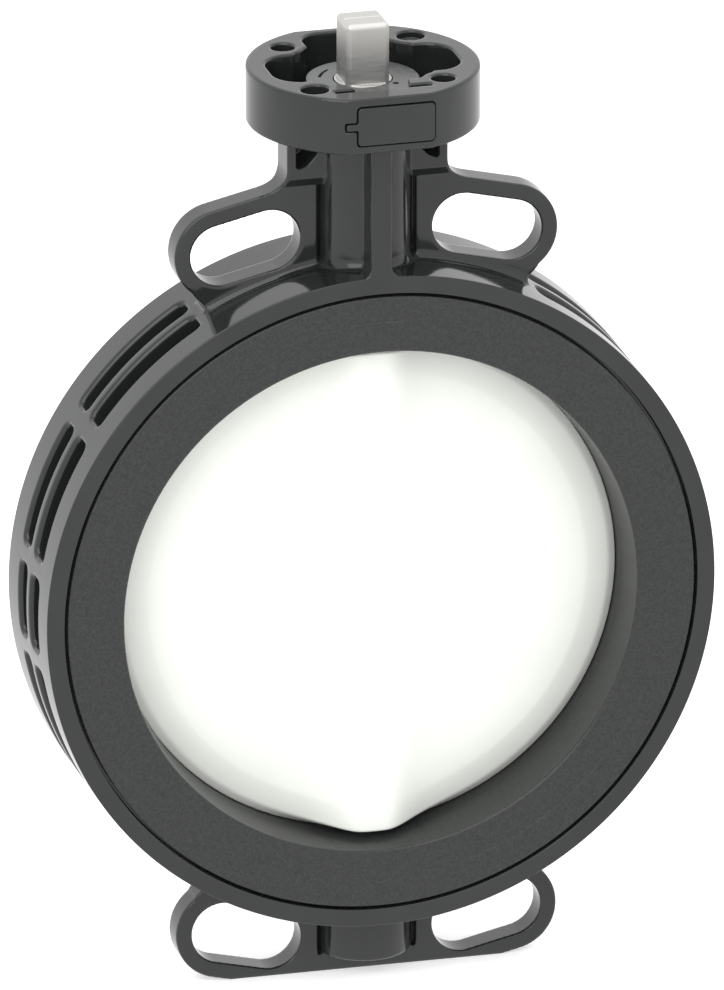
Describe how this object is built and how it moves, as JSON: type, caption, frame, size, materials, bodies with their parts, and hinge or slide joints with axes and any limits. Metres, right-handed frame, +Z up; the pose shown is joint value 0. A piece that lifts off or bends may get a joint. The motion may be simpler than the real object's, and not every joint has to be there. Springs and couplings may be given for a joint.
{
  "type": "butterfly valve",
  "caption": "Wafer butterfly valve with a lined plastic body, a white disc on a through stem, a square stem end and bolt lugs above and below.",
  "frame": {"origin": "where the bore axis crosses the stem axis, at the middle of the disc", "axes": "+Z up along the stem to its square end; -Y out of the front gasket face along the bore; +X to the right seen from the front"},
  "size_m": [0.262, 0.083, 0.3817],
  "materials": {
    "body_plastic": "moulded, glass-filled, satin gloss",
    "liner_rubber": "moulded EPDM, matt",
    "backing_plastic": "moulded, matt",
    "bush_plastic": "turned acetal, matt",
    "seal_rubber": "moulded EPDM",
    "plate_metal": "stamped and coated",
    "disc_plastic": "moulded, satin",
    "stem_steel": "turned and milled stainless",
    "spring_steel": "stamped spring steel"
  },
  "bodies": {
    "valve_body": {"body_ring": "body_plastic", "neck_frame": "body_plastic", "actuator_flange": "body_plastic", "foot_frame": "body_plastic", "tag_plate": "body_plastic", "seat_liner": "liner_rubber", "liner_backing_ring": "backing_plastic", "neck_bush": "bush_plastic", "upper_bush": "bush_plastic", "lower_bush": "bush_plastic", "lower_thrust_pad": "bush_plastic", "thrust_washer": "bush_plastic", "wiper_ring": "seal_rubber", "retainer_plate": "plate_metal"},
    "disc_and_stem": {"disc": "disc_plastic", "stem": "stem_steel", "upper_disc_o_ring": "seal_rubber", "lower_disc_o_ring": "seal_rubber", "neck_stem_o_ring": "seal_rubber", "upper_stem_o_ring": "seal_rubber", "lower_stem_o_ring": "seal_rubber", "retaining_clip": "spring_steel"}
  },
  "joints": [
    {"name": "disc_turn", "type": "hinge", "parent": "valve_body", "child": "disc_and_stem", "pos_m": [0, 0, 0], "axis": [0, 0, 1], "range_deg": [0, 90]}
  ]
}
